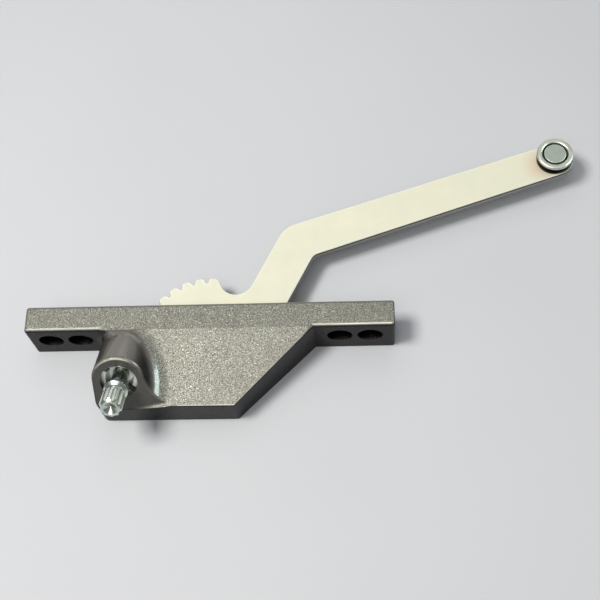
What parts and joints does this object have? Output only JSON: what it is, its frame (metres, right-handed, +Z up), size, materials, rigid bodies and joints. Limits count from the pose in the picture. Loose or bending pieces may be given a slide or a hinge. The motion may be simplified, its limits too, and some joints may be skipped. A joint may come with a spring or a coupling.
{
  "type": "window crank operator",
  "caption": "Casement window operator: bronze die-cast housing with screw ears, tilted splined crank shaft, and a toothed dog-leg arm with an end roller.",
  "frame": {"origin": "under the arm's pivot, in the plane of the housing's flat underside, where the pivot pin's riveted end lies flush", "axes": "+Z up along the arm's pivot, +X along the housing towards the arm's free end, +Y out of the back face, where the arm leaves"},
  "size_m": [0.2151, 0.1197, 0.035],
  "materials": {
    "bronze_paint": "dark bronze metallic coat, finely flecked, satin",
    "cream_coat": "pale cream satin coat on stamped steel",
    "bright_zinc": "bright zinc plate",
    "zinc_plate": "zinc plate, slightly worn",
    "satin_nickel": "satin nickel plate, turned",
    "plain_steel": "plain machined steel, oiled",
    "dark_steel": "dull grey steel, lightly oxidised",
    "bearing_brass": "sintered bronze, dull",
    "bearing_plastic": "natural acetal",
    "seal_rubber": "black rubber"
  },
  "bodies": {
    "housing": {"housing": "bronze_paint", "base_plate": "zinc_plate", "base_plate_screws": "dark_steel", "pivot_pin": "plain_steel", "arm_spacer": "plain_steel", "lower_thrust_washer": "bearing_plastic", "upper_thrust_washer": "bearing_plastic", "retaining_bush": "zinc_plate", "shaft_seal": "seal_rubber", "shaft_thrust_washer": "plain_steel", "rear_bush": "bearing_plastic", "end_thrust_disc": "plain_steel"},
    "arm": {"arm": "cream_coat", "arm_bush": "bearing_brass", "roller_stud": "dark_steel", "roller_washer": "plain_steel"},
    "crank_shaft": {"worm_shaft": "bright_zinc"},
    "roller": {"roller": "satin_nickel", "roller_bush": "bearing_brass"}
  },
  "joints": [
    {"name": "arm_swing", "type": "hinge", "parent": "housing", "child": "arm", "pos_m": [0, 0, 0.0109], "axis": [0, 0, 1], "range_deg": [-18.5, 75]},
    {"name": "crank_spin", "type": "hinge", "parent": "housing", "child": "crank_shaft", "pos_m": [-0.0303, -0.005, 0.0109], "axis": [0, -0.8192, 0.5736], "range_deg": [-2100, 518]},
    {"name": "roller_spin", "type": "hinge", "parent": "arm", "child": "roller", "pos_m": [0.13773, 0.07498, 0.0157], "axis": [0, 0, 1], "continuous": true}
  ],
  "couplings": [
    {"joint": "crank_spin", "follows": "arm_swing", "ratio": -28}
  ]
}
